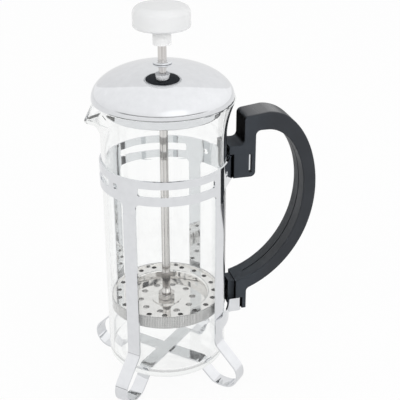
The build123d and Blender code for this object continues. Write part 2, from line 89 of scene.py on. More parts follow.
class Graph:
    """A short way to write a node tree."""

    noise_range: Range = (0.3, 0.7)

    def __init__(self, tree: bpy.types.NodeTree) -> None:
        """Write on a node tree.

        Args:
            tree: the node tree.
        """
        self.tree = tree

    def node(self, kind: str, **settings: object) -> bpy.types.Node:
        """Add a node and set its properties and its inputs.

        Args:
            kind: the node's type name without the ShaderNode prefix.
            settings: properties by name; a name that is an input's, with _ for a space, sets that input.

        Returns:
            The new node.
        """
        made = self.tree.nodes.new("ShaderNode" + kind)
        for key, value in settings.items():
            socket = made.inputs.get(key.replace("_", " "))
            if socket is not None:
                socket.default_value = value
            else:
                setattr(made, key, value)
        return made

    def link(self, source: Socket, target: Socket) -> None:
        """Join two sockets."""
        self.tree.links.new(source, target)

    def feed(self, value: Value, socket: Socket) -> None:
        """Join another node's socket to an input, or set the input to a fixed value."""
        if isinstance(value, bpy.types.NodeSocket):
            self.link(value, socket)
        else:
            socket.default_value = value

    def object_point(self, scale: Point = (1.0, 1.0, 1.0)) -> Socket:
        """Object coordinates, stretched by a scale.

        Args:
            scale: the stretch along x, y and z.

        Returns:
            The stretched vector's socket.
        """
        place = self.node("TexCoord")
        mapping = self.node("Mapping")
        mapping.inputs["Scale"].default_value = scale
        self.link(place.outputs["Object"], mapping.inputs["Vector"])
        return mapping.outputs["Vector"]

    def axes(self, vector: Socket) -> dict[str, Socket]:
        """Take a vector apart.

        Args:
            vector: the vector's socket.

        Returns:
            Its three parts by axis.
        """
        made = self.node("SeparateXYZ")
        self.link(vector, made.inputs["Vector"])
        return {axis: made.outputs[axis] for axis in "XYZ"}

    def along(self, vector: Socket, direction: Point) -> Socket:
        """How far a vector goes along a direction.

        Args:
            vector: the vector's socket.
            direction: the direction, as a unit vector.

        Returns:
            The distance's socket.
        """
        made = self.node("VectorMath", operation="DOT_PRODUCT")
        self.link(vector, made.inputs[0])
        made.inputs[1].default_value = direction
        return made.outputs["Value"]

    def noise(self, point: Socket, scale: float, detail: float) -> Socket:
        """A noise value at a point.

        Args:
            point: the vector socket to sample at.
            scale: the noise's scale, per metre.
            detail: the number of octaves.

        Returns:
            The noise factor's socket.
        """
        made = self.node("TexNoise", Scale=scale, Detail=detail)
        self.link(point, made.inputs["Vector"])
        return made.outputs["Fac"]

    def map_range(self, value: Socket, source: Range, target: Range = (0.0, 1.0), shape: str = "LINEAR") -> Socket:
        """Map a value from one range onto another and hold it at the ends.

        Args:
            value: the value's socket.
            source: the range it comes from; its start may be the larger end.
            target: the range it is mapped onto.
            shape: the node's interpolation type.

        Returns:
            The mapped value's socket.
        """
        made = self.node("MapRange", interpolation_type=shape)
        for name, limits in (("From", source), ("To", target)):
            made.inputs[name + " Min"].default_value = limits[0]
            made.inputs[name + " Max"].default_value = limits[1]
        self.link(value, made.inputs["Value"])
        return made.outputs["Result"]

    def spread(self, value: Socket, low: float, high: float) -> Socket:
        """Map the usual range of a noise value onto a range.

        Args:
            value: the noise factor's socket.
            low: the result at the low end.
            high: the result at the high end.

        Returns:
            The mapped value's socket.
        """
        return self.map_range(value, self.noise_range, (low, high))

    def between(self, value: Socket, start: float, end: float) -> Socket:
        """Rise from 0 to 1 as a value goes from a start to an end.

        Args:
            value: what is measured.
            start: where the result is 0.
            end: where the result is 1.

        Returns:
            The share of the way.
        """
        return self.map_range(value, (start, end))

    def bump(self, height: Socket, strength: float, distance: float) -> Socket:
        """A bumped normal from a height.

        Args:
            height: the height's socket.
            strength: how strong the bump is, 0 to 1.
            distance: the height in metres that 1 stands for.

        Returns:
            The normal's socket.
        """
        made = self.node("Bump", Strength=strength, Distance=distance)
        self.link(height, made.inputs["Height"])
        return made.outputs["Normal"]

    def math(self, operation: str, *values: Socket | float) -> Socket:
        """A math node over sockets and numbers.

        Args:
            operation: the node's operation.
            values: its inputs in order, each a socket or a number.

        Returns:
            The value's socket.
        """
        made = self.node("Math", operation=operation)
        for value, socket in zip(values, made.inputs):
            self.feed(value, socket)
        return made.outputs["Value"]

    def mix(self, share: Socket, first: Value, second: Value, kind: MixKind = MixKind.FLOAT) -> Socket:
        """Go from one value or colour to another.

        Args:
            share: the share of the way from the first to the second.
            first: the result at 0.
            second: the result at 1.
            kind: what is mixed.

        Returns:
            The mixed value's socket.
        """
        made = self.node("Mix", data_type=kind.name)
        *places, result = kind.value
        for value, place in zip((share, first, second), places):
            self.feed(value, made.inputs[place])
        return made.outputs[result]

    def mix_shaders(self, share: Socket, first: bpy.types.Node, second: bpy.types.Node) -> bpy.types.Node:
        """Go from one shader to another.

        Args:
            share: the share of the way from the first to the second.
            first: the shader node at 0.
            second: the shader node at 1.

        Returns:
            The mixing node.
        """
        made = self.node("MixShader")
        self.link(share, made.inputs["Fac"])
        self.link(first.outputs[0], made.inputs[1])
        self.link(second.outputs[0], made.inputs[2])
        return made

    def seen(self, path: bpy.types.Node) -> Socket:
        """Tell what the camera sees, straight or through glass, from all other light.

        Args:
            path: the light path node.

        Returns:
            The socket of a value that is 1 for what is seen.
        """
        return self.math("MAXIMUM", path.outputs["Is Camera Ray"], path.outputs["Is Transmission Ray"])

    def wave(self, phase: Socket) -> Socket:
        """A sine of a phase, from 0 to 1.

        Args:
            phase: the phase's socket, in radians.

        Returns:
            The wave's socket.
        """
        return self.math("MULTIPLY_ADD", self.math("SINE", phase), 0.5, 0.5)

    def ramp(self, value: Socket, stops: dict[float, Color]) -> Socket:
        """A colour ramp over a value.

        Args:
            value: the factor's socket.
            stops: colours by their place from 0 to 1.

        Returns:
            The colour's socket.
        """
        made = self.node("ValToRGB")
        elements = made.color_ramp.elements
        for element, (place, color) in zip(elements, sorted(stops.items())):
            element.position = place
            element.color = (*color, 1.0)
        self.link(value, made.inputs["Fac"])
        return made.outputs["Color"]

    def noise_ramp(self, value: Socket, low: Color, high: Color) -> Socket:
        """A colour ramp over the usual range of a noise value.

        Args:
            value: the noise factor's socket.
            low: the colour at the low end.
            high: the colour at the high end.

        Returns:
            The colour's socket.
        """
        return self.ramp(value, dict(zip(self.noise_range, (low, high))))


class MaterialGraph(Graph):
    """The node tree of a new material."""

    def __init__(self, name: str) -> None:
        """Start an empty material with an output node.

        Args:
            name: the material's name.
        """
        self.material = bpy.data.materials.new(name)
        self.material.use_nodes = True
        super().__init__(self.material.node_tree)
        self.tree.nodes.clear()
        self.output = self.node("OutputMaterial")

    def close(self, shader: bpy.types.Node) -> bpy.types.Material:
        """Send a shader node to the output and return the material."""
        self.link(shader.outputs[0], self.output.inputs["Surface"])
        return self.material


@dataclass(frozen=True)
class PolishedChrome:
    """Bright plated sheet: near mirror, with faint handling haze and the slight waviness of thin metal."""

    name: str = "polished_chrome"
    color: Color = (0.77, 0.78, 0.80)
    worn: Color = (0.73, 0.74, 0.76)
    roughness: Range = (0.03, 0.07)
    wave_scale: float = 60.0
    wave_strength: float = 0.12
    wave_depth: float = 0.0001
    haze_scale: float = 220.0

    def build(self) -> bpy.types.Material:
        """Build the material and return it."""
        graph = MaterialGraph(self.name)
        point = graph.object_point()
        haze = graph.noise(point, self.haze_scale, detail=5.0)
        wave = graph.noise(point, self.wave_scale, detail=1.0)
        shader = graph.node("BsdfPrincipled", Metallic=1.0)
        graph.link(graph.noise_ramp(haze, self.worn, self.color), shader.inputs["Base Color"])
        graph.link(graph.spread(haze, *self.roughness), shader.inputs["Roughness"])
        graph.link(graph.bump(wave, self.wave_strength, self.wave_depth), shader.inputs["Normal"])
        return graph.close(shader)


@dataclass(frozen=True)
class DrawnSteel:
    """Stainless steel with fine drawn lines along one axis."""

    name: str
    color: Color
    dark: Color
    roughness: Range
    grain: Point
    strength: float = 0.2
    depth: float = 0.00002

    def build(self) -> bpy.types.Material:
        """Build the material and return it."""
        graph = MaterialGraph(self.name)
        lines = graph.noise(graph.object_point(self.grain), scale=1.0, detail=3.0)
        shader = graph.node("BsdfPrincipled", Metallic=1.0)
        graph.link(graph.noise_ramp(lines, self.dark, self.color), shader.inputs["Base Color"])
        graph.link(graph.spread(lines, *self.roughness), shader.inputs["Roughness"])
        graph.link(graph.bump(lines, self.strength, self.depth), shader.inputs["Normal"])
        return graph.close(shader)


@dataclass(frozen=True)
class WovenSteel:
    """Fine steel gauze: upright wires round the turned-up edge and a square weave on the flat."""

    name: str = "woven_steel"
    light: Color = (0.66, 0.655, 0.65)
    light_from: float = 0.55
    # The dark colour is painted shade between the wires
    dark: Color = (0.30, 0.30, 0.30)
    dark_until: float = 0.05
    roughness: float = 0.28
    wires: float = 216.0
    weave_pitch: float = 0.0011
    wire_strength: float = 0.5
    wire_depth: float = 0.0002
    flat_from: float = 0.6
    shade_variation_grain: Point = (420.0, 420.0, 40.0)
    shade_variation: Range = (0.5, 1.3)

    def build(self) -> bpy.types.Material:
        """Build the material and return it."""
        graph = MaterialGraph(self.name)
        place = graph.axes(graph.object_point())
        angle = graph.math("ARCTAN2", place["Y"], place["X"])
        round_wires = graph.wave(graph.math("MULTIPLY", angle, self.wires))
        turns = FULL_TURN / self.weave_pitch
        across = graph.wave(graph.math("MULTIPLY", place["X"], turns))
        along = graph.wave(graph.math("MULTIPLY", place["Y"], turns))
        flat_weave = graph.math("MULTIPLY", across, along)
        facing = graph.axes(graph.node("NewGeometry").outputs["Normal"])
        flat = graph.math("GREATER_THAN", graph.math("ABSOLUTE", facing["Z"]), self.flat_from)
        height = graph.mix(flat, round_wires, flat_weave)
        # Painted shade: the low places between the wires are painted dark, more or less deeply at random
        shade = graph.noise(graph.object_point(self.shade_variation_grain), scale=1.0, detail=3.0)
        uneven = graph.math("MULTIPLY", height, graph.spread(shade, *self.shade_variation))
        stops = {self.dark_until: self.dark, self.light_from: self.light}
        shader = graph.node("BsdfPrincipled", Metallic=1.0, Roughness=self.roughness)
        graph.link(graph.ramp(uneven, stops), shader.inputs["Base Color"])
        graph.link(graph.bump(height, self.wire_strength, self.wire_depth), shader.inputs["Normal"])
        return graph.close(shader)


@dataclass(frozen=True)
class ClearGlass:
    """Thin blown borosilicate glass, clear with a trace of unevenness.

    Its shadow lets the light through. Light caught inside the wall goes straight on, and is dimmed at the lip,
    the spout and the foot: painted shade that stands in for the dark edge lines the glass shows there.
    """

    name: str = "clear_glass"
    color: Color = (0.992, 0.996, 0.994)
    index: float = 1.47
    wave_scale: float = 45.0
    wave_strength: float = 0.06
    wave_depth: float = 0.0002
    shadow_tint: Color = (0.97, 0.98, 0.975)
    lip_start: float = 0.1712
    lip_share: float = 0.5
    spout_start: float = -0.0375
    foot_end: float = 0.0150
    foot_share: float = 0.2
    blend: float = 0.0006
    painted_edge_shade: Color = (0.03, 0.035, 0.032)

    def build(self) -> bpy.types.Material:
        """Build the material and return it."""
        graph = MaterialGraph(self.name)
        wave = graph.noise(graph.object_point(), self.wave_scale, detail=1.0)
        shader = graph.node(
            "BsdfPrincipled", Base_Color=(*self.color, 1.0), Roughness=0.0, IOR=self.index, Transmission_Weight=1.0
        )
        graph.link(graph.bump(wave, self.wave_strength, self.wave_depth), shader.inputs["Normal"])
        clear = graph.node("BsdfTransparent", Color=(*self.shadow_tint, 1.0))
        place = graph.axes(graph.object_point())
        # Painted shade: the lip, the spout and the foot darken the light caught inside the wall
        lip = graph.between(place["Z"], self.lip_start, self.lip_start + self.blend)
        spout = graph.between(place["X"], self.spout_start, self.spout_start - self.blend)
        foot = graph.between(place["Z"], self.foot_end, self.foot_end - self.blend)
        soft = graph.math("MULTIPLY_ADD", lip, self.lip_share, graph.math("MULTIPLY", foot, self.foot_share))
        dimmed = graph.math("MAXIMUM", soft, spout)
        edge = graph.node("BsdfTransparent")
        graph.link(graph.ramp(dimmed, {0.0: self.color, 1.0: self.painted_edge_shade}), edge.inputs["Color"])
        path = graph.node("LightPath")
        lit = graph.mix_shaders(path.outputs["Is Shadow Ray"], shader, clear)
        return graph.close(graph.mix_shaders(path.outputs["Is Reflection Ray"], lit, edge))


@dataclass(frozen=True)
class MouldedPlastic:
    """Moulded plastic with a fine grain and a slightly uneven gloss.

    A handle is darker and smoother where it is gripped and on its crest; the crest's top is painted lighter, a
    painted highlight; and the faces that are turned to the glass are dull and dark with painted shade. The starting
    values leave all three out.
    """

    name: str
    color: Color
    shade: Color
    roughness: float
    grain_scale: float
    grain_depth: float
    grain_strength: float = 0.25
    gloss: float = 0.5
    cloud_scale: float = 70.0
    cloud_share: float = 0.4
    cloud_gloss: Range = (0.9, 1.1)
    grip_and_crest_darkening: float = 0.6
    color_until: float = 0.12
    shade_from: float = 0.88
    grip_start: float = 1.0
    grip_blend: float = 0.012
    grip_roughness: float = 0.5
    crest_start: float = 1.0
    crest_blend: float = 0.002
    crest_facing: Range = (0.5, 0.9)
    crest_roughness: float = 0.18
    # The colour of the painted highlight on the crest's top
    crest_painted_highlight: Color = (0.12, 0.123, 0.13)
    # Painted shade on the faces near the glass that are turned to it
    painted_shade_end: float = -1.0
    painted_shade_blend: float = 0.001
    painted_shade_facing: Range = (-0.6, -0.9)
    painted_shade_share: float = 0.97

    def build(self) -> bpy.types.Material:
        """Build the material and return it."""
        graph = MaterialGraph(self.name)
        point = graph.object_point()
        place = graph.axes(point)
        facing = graph.axes(graph.node("NewGeometry").outputs["True Normal"])
        cloud = graph.noise(point, self.cloud_scale, detail=3.0)
        grain = graph.noise(point, self.grain_scale, detail=2.0)
        grip = graph.between(place["X"], self.grip_start, self.grip_start + self.grip_blend)
        crest = graph.between(place["Z"], self.crest_start, self.crest_start + self.crest_blend)
        # The grip and the crest take the darker colour
        grip_and_crest = graph.math("MULTIPLY", graph.math("MAXIMUM", grip, crest), self.grip_and_crest_darkening)
        uneven = graph.math("MULTIPLY_ADD", cloud, self.cloud_share, grip_and_crest)
        rough = graph.math("MULTIPLY_ADD", grip, self.grip_roughness - self.roughness, self.roughness)
        rough = graph.math("MULTIPLY_ADD", crest, graph.math("SUBTRACT", self.crest_roughness, rough), rough)
        # Painted shade: close to the glass, the faces that are turned to it keep only a small share of their colour
        # and gloss
        inward = graph.between(facing["X"], *self.painted_shade_facing)
        close = graph.between(place["X"], self.painted_shade_end, self.painted_shade_end - self.painted_shade_blend)
        painted_shade_keep = graph.math("MULTIPLY_ADD", graph.math("MULTIPLY", inward, close), -self.painted_shade_share, 1.0)
        tint = graph.node("VectorMath", operation="SCALE")
        stops = {self.color_until: self.color, self.shade_from: self.shade}
        graph.link(graph.ramp(uneven, stops), tint.inputs[0])
        graph.link(painted_shade_keep, tint.inputs["Scale"])
        # Painted highlight: the crest's top is lighter, standing in for the sheen of the light from above
        top = graph.math("MULTIPLY", crest, graph.between(facing["Z"], *self.crest_facing))
        with_painted_highlight = graph.mix(top, tint.outputs["Vector"], (*self.crest_painted_highlight, 1.0), MixKind.RGBA)
        shader = graph.node("BsdfPrincipled")
        graph.link(with_painted_highlight, shader.inputs["Base Color"])
        graph.link(graph.math("MULTIPLY", painted_shade_keep, self.gloss), shader.inputs["Specular IOR Level"])
        graph.link(graph.math("MULTIPLY", rough, graph.spread(cloud, *self.cloud_gloss)), shader.inputs["Roughness"])
        graph.link(graph.bump(grain, self.grain_strength, self.grain_depth), shader.inputs["Normal"])
        return graph.close(shader)


@dataclass(frozen=True)
class Finishes:
    """Every finish of the press, built once."""

    chrome: bpy.types.Material
    lid_chrome: bpy.types.Material
    rod_steel: bpy.types.Material
    plate_steel: bpy.types.Material
    gauze: bpy.types.Material
    wire_steel: bpy.types.Material
    nut_steel: bpy.types.Material
    glass: bpy.types.Material
    white: bpy.types.Material
    stem_white_painted_lighter: bpy.types.Material
    black: bpy.types.Material

    @classmethod
    def make(cls) -> "Finishes":
        """Build the materials and return them together."""
        recipes = {
            "chrome": PolishedChrome(),
            "lid_chrome": PolishedChrome(
                name="spun_chrome",
                roughness=(0.02, 0.05),
                wave_scale=30.0,
                wave_depth=0.00005,
            ),
            # The rod's dark lines are partly its drawn grain and partly painted reflection: the dark streaks a
            # polished rod picks up
            "rod_steel": DrawnSteel(
                name="drawn_steel_and_painted_streaks",
                color=(0.78, 0.76, 0.745),
                dark=(0.50, 0.48, 0.465),
                roughness=(0.04, 0.09),
                grain=(900.0, 900.0, 10.0),
            ),
            "plate_steel": DrawnSteel(
                name="pressed_steel",
                color=(0.80, 0.79, 0.775),
                dark=(0.74, 0.73, 0.715),
                roughness=(0.05, 0.09),
                grain=(260.0, 260.0, 260.0),
                depth=0.00001,
            ),
            "gauze": WovenSteel(),
            "wire_steel": DrawnSteel(
                name="wire_steel",
                color=(0.68, 0.675, 0.67),
                dark=(0.5, 0.495, 0.49),
                roughness=(0.18, 0.3),
                grain=(500.0, 500.0, 60.0),
            ),
            "nut_steel": DrawnSteel(
                name="nut_steel",
                color=(0.60, 0.58, 0.56),
                dark=(0.42, 0.405, 0.39),
                roughness=(0.1, 0.18),
                grain=(600.0, 600.0, 900.0),
            ),
            "glass": ClearGlass(),
            "white": MouldedPlastic(
                name="white_gloss",
                color=(0.815, 0.82, 0.825),
                shade=(0.80, 0.805, 0.81),
                roughness=0.09,
                grain_scale=900.0,
                grain_depth=0.00002,
            ),
            # Painted light: a lighter copy of the knob's white that brightens the collar in the knob's shadow
            "stem_white_painted_lighter": MouldedPlastic(
                name="white_collar_painted_lighter",
                color=(0.95, 0.95, 0.95),
                shade=(0.93, 0.93, 0.93),
                roughness=0.2,
                grain_scale=900.0,
                grain_depth=0.00002,
            ),
            "black": MouldedPlastic(
                name="black_satin",
                color=(0.040, 0.0465, 0.056),
                shade=(0.025, 0.0278, 0.033),
                roughness=0.7,
                grain_scale=1800.0,
                grain_depth=0.00004,
                gloss=0.3,
                grip_start=0.05,
                crest_start=0.1605,
                # The handle's faces near the glass that are turned to it carry painted shade
                painted_shade_end=0.0465,
            ),
        }
        return cls(**{use: recipe.build() for use, recipe in recipes.items()})


@dataclass
class SubAssembly(ABC):
    """A group of nodes on one body, with what the solids leave to the look."""

    nodes: dict[str, bpy.types.Object]
    finishes: Finishes
    body: Body

    def build(self) -> None:
        """Model the pieces that the solids leave out; by default there are none."""

    @abstractmethod
    def dress(self) -> None:
        """Give every node that shows its finish."""

    def dress_nodes(self, names: tuple[str, ...], material: bpy.types.Material) -> None:
        """Give several nodes one finish.

        Args:
            names: the nodes' names.
            material: the finish.
        """
        for name in names:
            Bench.coat(self.nodes[name], material)
            LOG.info("%s: %s", name, material.name)

    def keep(
        self, piece: bpy.types.Object, name: str, material: bpy.types.Material, slot: str, stands_for: str = ""
    ) -> None:
        """Name a finished piece, dress it and let it ride on this body.

        Args:
            piece: the modelled object.
            name: the piece's name.
            material: its finish.
            slot: not used.
            stands_for: the node it replaces, if any.
        """
        piece.name = name
        piece.data.name = name
        Bench.coat(piece, material)
        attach(piece, self.body.value)
        if stands_for:
            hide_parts(stands_for)
        LOG.info("%s: %s, %d faces", name, material.name, len(piece.data.polygons))


@dataclass
class Stand(SubAssembly):
    """The slotted band, the two long straps with their rolled feet, and the black loop handle."""

    body: Body = Body.FRAME

    def dress(self) -> None:
        """Chrome on the sheet metal, satin black on the handle."""
        metal = ("frame_band", "leg_strap_a", "leg_strap_b", "handle_bracket", "handle_clip")
        self.dress_nodes(metal, self.finishes.chrome)
        self.dress_nodes(("handle",), self.finishes.black)


@dataclass
class Beaker(SubAssembly):
    """The glass."""

    body: Body = Body.BEAKER

    def dress(self) -> None:
        """Clear glass."""
        self.dress_nodes(("glass_beaker",), self.finishes.glass)


@dataclass
class Lid(SubAssembly):
    """Dome, flange, skirt and the rod's guide."""

    body: Body = Body.LID

    def dress(self) -> None:
        """Spun chrome outside, steel inside."""
        self.dress_nodes(("lid_dome", "lid_flange", "lid_skirt", "rod_bush"), self.finishes.lid_chrome)
        self.dress_nodes(("bush_retainer",), self.finishes.plate_steel)


@dataclass
class Plunger(SubAssembly):
    """Knob, rod and strainer, with chamfered nuts, the rod's thread, the edge spring and the gauze's wires."""

    body: Body = Body.PLUNGER
    nut_turn: float = 45.0
    nut_chamfer: float = 1.2
    nut_edge: float = 0.00012
    nut_facets: int = 48
    hub_nut_flats: float = 0.0094
    lower_nut_flats: float = 0.0080
    stud_bore: float = 0.00205
    bore_facets: int = 32
    rod_radius: float = 0.0024
    thread_pitch: float = 0.0006
    thread_turns: int = 4
    thread_steps: int = 32
    thread_depth: float = 0.0004
    coil_wire: float = 0.0003
    coil_facets: int = 6
    coil_pitch: float = 0.0013
    coil_steps: int = 10
    wire_radius: float = 0.00016
    wire_facets: int = 5
    wire_count: int = 216
    wire_end: float = 0.4
    wire_foot: float = 0.0014
    wire_head: float = 0.0002
    hoop_count: int = 5
    hoop_facets: int = 96
    hoop_share: float = 0.8

    def build(self) -> None:
        """Model the nuts, the thread, the spring and the wires."""
        steel = self.finishes.rod_steel
        for node, flats in (("hub_nut", self.hub_nut_flats), ("lower_nut", self.lower_nut_flats)):
            nut = self.chamfered_nut(node, flats)
            self.keep(nut, node + "_chamfered", self.finishes.nut_steel, "steel", node)
        self.keep(self.thread(), "rod_thread", steel, "steel")
        self.keep(self.edge_spring(), "edge_spring", steel, "steel", "spring_ring")
        self.keep(self.gauze_wires(), "gauze_wires", self.finishes.wire_steel, "steel")

    def chamfered_nut(self, node: str, flats: float) -> bpy.types.Object:
        """A hex nut with both ends turned to a chamfer and a bored middle.

        Args:
            node: the plain nut's node, which gives the heights.
            flats: the width across flats.

        Returns:
            The nut.
        """
        low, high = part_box(node)
        height = high[2] - low[2]
        middle = (0.0, 0.0, (high[2] + low[2]) / 2.0)
        corner = flats / math.sqrt(3.0)
        nut = Bench.cylinder(6, corner, height, middle, (0.0, 0.0, math.radians(self.nut_turn)))
        turned = Bench.cylinder(self.nut_facets, corner, height, middle)
        with Bench.editing(turned):
            Bench.choose_edges(turned, lambda a, b: abs(a.z - b.z) < height / 2.0)
            bpy.ops.mesh.bevel(offset=(corner - flats / 2.0) * self.nut_chamfer, segments=1)
        Bench.cut(nut, turned, "INTERSECT")
        bore = Bench.cylinder(self.bore_facets, self.stud_bore, height * 2.0, middle)
        Bench.cut(nut, bore, "DIFFERENCE")
        return Bench.soften(nut, self.nut_edge)

    def thread(self) -> bpy.types.Object:
        """The thread's last turns on the rod, just above the hub nut."""
        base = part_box("hub_nut")[1][2]
        ridge = Bench.profile(3, self.thread_depth, (self.rod_radius, 0.0, base + self.thread_depth))
        Bench.wind(ridge, "Z", self.thread_pitch, self.thread_turns, self.thread_steps)
        return Bench.soften(ridge)

    def edge_spring(self) -> bpy.types.Object:
        """The coil in the gauze's turned-up edge, closed in a ring."""
        low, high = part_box("spring_ring")
        tube = (high[2] - low[2]) / 2.0
        ring = (high[0] - low[0]) / 2.0 - tube
        coil = tube - self.coil_wire
        length = FULL_TURN * ring
        turns = round(length / self.coil_pitch)
        spring = Bench.profile(self.coil_facets, self.coil_wire, (-length / 2.0, coil, 0.0))
        Bench.wind(spring, "X", length / turns, turns, self.coil_steps)
        bend = spring.modifiers.new("ring", "SIMPLE_DEFORM")
        bend.deform_method = "BEND"
        bend.deform_axis = "Z"
        bend.angle = FULL_TURN
        Bench.apply(spring)
        corners = [spring.matrix_world @ Vector(c) for c in spring.bound_box]
        center = sum(corners, Vector()) / len(corners)
        spring.location = Vector((0.0, 0.0, (high[2] + low[2]) / 2.0)) - center
        Bench.settled()
        return Bench.soften(spring)

    def gauze_wires(self) -> bpy.types.Object:
        """The upright wires and hoops that stand out on the gauze's outer face."""
        low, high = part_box("mesh_filter")
        radius = (high[0] - low[0]) / 2.0
        foot = low[2] + self.wire_foot
        head = high[2] - self.wire_head
        place = (radius, 0.0, (foot + head) / 2.0)
        wires = Bench.cylinder(self.wire_facets, self.wire_radius, head - foot, place)
        with Bench.editing(wires):
            Bench.choose_edges(wires, lambda a, b: abs(a.z - b.z) < self.wire_radius)
            bpy.ops.mesh.bevel(offset=self.wire_radius * self.wire_end, segments=1)
            bpy.ops.mesh.select_all(action="SELECT")
            bpy.ops.mesh.spin(
                steps=self.wire_count,
                dupli=True,
                angle=FULL_TURN,
                center=(0.0, 0.0, 0.0),
                axis=(0.0, 0.0, 1.0),
            )
            bpy.ops.mesh.remove_doubles(threshold=Bench.weld_gap)
        hoops = []
        for step in range(self.hoop_count):
            Bench.clear()
            bpy.ops.mesh.primitive_torus_add(
                major_segments=self.hoop_facets,
                minor_segments=self.wire_facets,
                major_radius=radius,
                minor_radius=self.wire_radius * self.hoop_share,
                location=(0.0, 0.0, foot + (head - foot) * (step + 0.5) / self.hoop_count),
            )
            hoops.append(Bench.settled())
        return Bench.join(wires, hoops)

    def dress(self) -> None:
        """White knob, drawn rod, pressed plates and woven gauze."""
        self.dress_nodes(("knob",), self.finishes.white)
        # The collar takes the lighter copy of the white plastic: painted light
        self.dress_nodes(("knob_stem",), self.finishes.stem_white_painted_lighter)
        self.dress_nodes(("knob_base",), self.finishes.black)
        self.dress_nodes(("plunger_rod",), self.finishes.rod_steel)
        self.dress_nodes(("hub_washer", "filter_plate", "cross_plate"), self.finishes.plate_steel)
        self.dress_nodes(("mesh_filter",), self.finishes.gauze)


class Bench:
    """Modelling moves shared by the sub-assemblies."""

    smooth_angle: float = math.radians(35.0)
    edge_segments: int = 2
    most_end_sides: int = 8
    weld_gap: float = 0.000001

    @staticmethod
    def coat(piece: bpy.types.Object, material: bpy.types.Material) -> None:
        """Give an object one material in place of what it has."""
        piece.data.materials.clear()
        piece.data.materials.append(material)

    @staticmethod
    def clear() -> None:
        """Deselect everything."""
        bpy.ops.object.select_all(action="DESELECT")

    @staticmethod
    def only(piece: bpy.types.Object) -> None:
        """Select one object and make it active."""
        Bench.clear()
        piece.select_set(True)
        bpy.context.view_layer.objects.active = piece

    @staticmethod
    def settled() -> bpy.types.Object:
        """Put the active object's place, turn and scale into its mesh and return it."""
        piece = bpy.context.object
        Bench.only(piece)
        bpy.ops.object.transform_apply(location=True, rotation=True, scale=True)
        return piece

    @staticmethod
    def cylinder(
        sides: int, radius: float, height: float, middle: Point, turn: Point = (0.0, 0.0, 0.0)
    ) -> bpy.types.Object:
        """A closed cylinder or prism to start a piece from.

        Args:
            sides: the number of sides.
            radius: the radius to its corners.
            height: its height.
            middle: its middle.
            turn: its rotation in radians.

        Returns:
            The object, settled.
        """
        Bench.clear()
        bpy.ops.mesh.primitive_cylinder_add(
            vertices=sides, radius=radius, depth=height, location=middle, rotation=turn
        )
        return Bench.settled()

    @staticmethod
    def profile(sides: int, radius: float, middle: Point) -> bpy.types.Object:
        """An upright ring of edges to wind a coil from.

        Args:
            sides: the number of sides.
            radius: the radius to its corners.
            middle: its middle.

        Returns:
            The object, settled.
        """
        Bench.clear()
        bpy.ops.mesh.primitive_circle_add(
            vertices=sides, radius=radius, location=middle, rotation=(QUARTER_TURN, 0.0, 0.0)
        )
        return Bench.settled()

    @staticmethod
    @contextmanager
    def editing(piece: bpy.types.Object) -> Iterator[None]:
        """Open an object in edit mode for a while.

        Args:
            piece: the object.
        """
        Bench.only(piece)
        bpy.ops.object.mode_set(mode="EDIT")
        yield
        bpy.ops.object.mode_set(mode="OBJECT")

    @staticmethod
    def choose_edges(piece: bpy.types.Object, wanted: Callable[[Vector, Vector], bool]) -> None:
        """Select the edges whose two ends pass a test, in edit mode.

        Args:
            piece: the object in edit mode.
            wanted: the test on an edge's ends.
        """
        bpy.ops.mesh.select_mode(type="EDGE")
        bpy.ops.mesh.select_all(action="DESELECT")
        bpy.ops.object.mode_set(mode="OBJECT")
        points = piece.data.vertices
        for edge in piece.data.edges:
            edge.select = wanted(points[edge.vertices[0]].co, points[edge.vertices[1]].co)
        bpy.ops.object.mode_set(mode="EDIT")

    @staticmethod
    def apply(piece: bpy.types.Object) -> None:
        """Apply every modifier of an object."""
        Bench.only(piece)
        for modifier in list(piece.modifiers):
            bpy.ops.object.modifier_apply(modifier=modifier.name)

    @staticmethod
    def cut(piece: bpy.types.Object, tool: bpy.types.Object, operation: str) -> None:
        """Combine an object with a tool and drop the tool.

        Args:
            piece: the object that is cut.
            tool: the object that cuts it.
            operation: INTERSECT or DIFFERENCE.
        """
        modifier = piece.modifiers.new("cut", "BOOLEAN")
        modifier.operation = operation
        modifier.solver = "EXACT"
        modifier.object = tool
        Bench.apply(piece)
        bpy.data.objects.remove(tool)

    @staticmethod
    def wind(profile: bpy.types.Object, axis: str, pitch: float, turns: int, steps: int) -> None:
        """Wind a closed profile into a coil and close its two ends.

        Args:
            profile: the object with the profile.
            axis: the axis it winds round.
            pitch: the advance of one turn.
            turns: the number of turns.
            steps: the steps in one turn.
        """
        screw = profile.modifiers.new("wind", "SCREW")
        screw.axis = axis
        screw.angle = FULL_TURN
        screw.screw_offset = pitch
        screw.iterations = turns
        screw.steps = steps
        screw.render_steps = steps
        Bench.apply(profile)
        with Bench.editing(profile):
            bpy.ops.mesh.select_all(action="SELECT")
            bpy.ops.mesh.fill_holes(sides=Bench.most_end_sides)
            bpy.ops.mesh.normals_make_consistent(inside=False)

    @staticmethod
    def soften(piece: bpy.types.Object, edge: float = 0.0) -> bpy.types.Object:
        """Round an object's sharp edges a little and shade it.

        Args:
            piece: the object.
            edge: the width of the rounding, or 0 for none.

        Returns:
            The object.
        """
        if edge:
            bevel = piece.modifiers.new("edge", "BEVEL")
            bevel.width = edge
            bevel.segments = Bench.edge_segments
            bevel.limit_method = "ANGLE"
            Bench.apply(piece)
        Bench.only(piece)
        bpy.ops.object.shade_smooth_by_angle(angle=Bench.smooth_angle)
        return piece

    @staticmethod
    def join(piece: bpy.types.Object, others: list[bpy.types.Object]) -> bpy.types.Object:
        """Join other objects into one and shade it smooth.

        Args:
            piece: the object that stays.
            others: the objects that go into it.

        Returns:
            The joined object.
        """
        Bench.only(piece)
        for other in others:
            other.select_set(True)
        bpy.ops.object.join()
        return Bench.soften(piece)


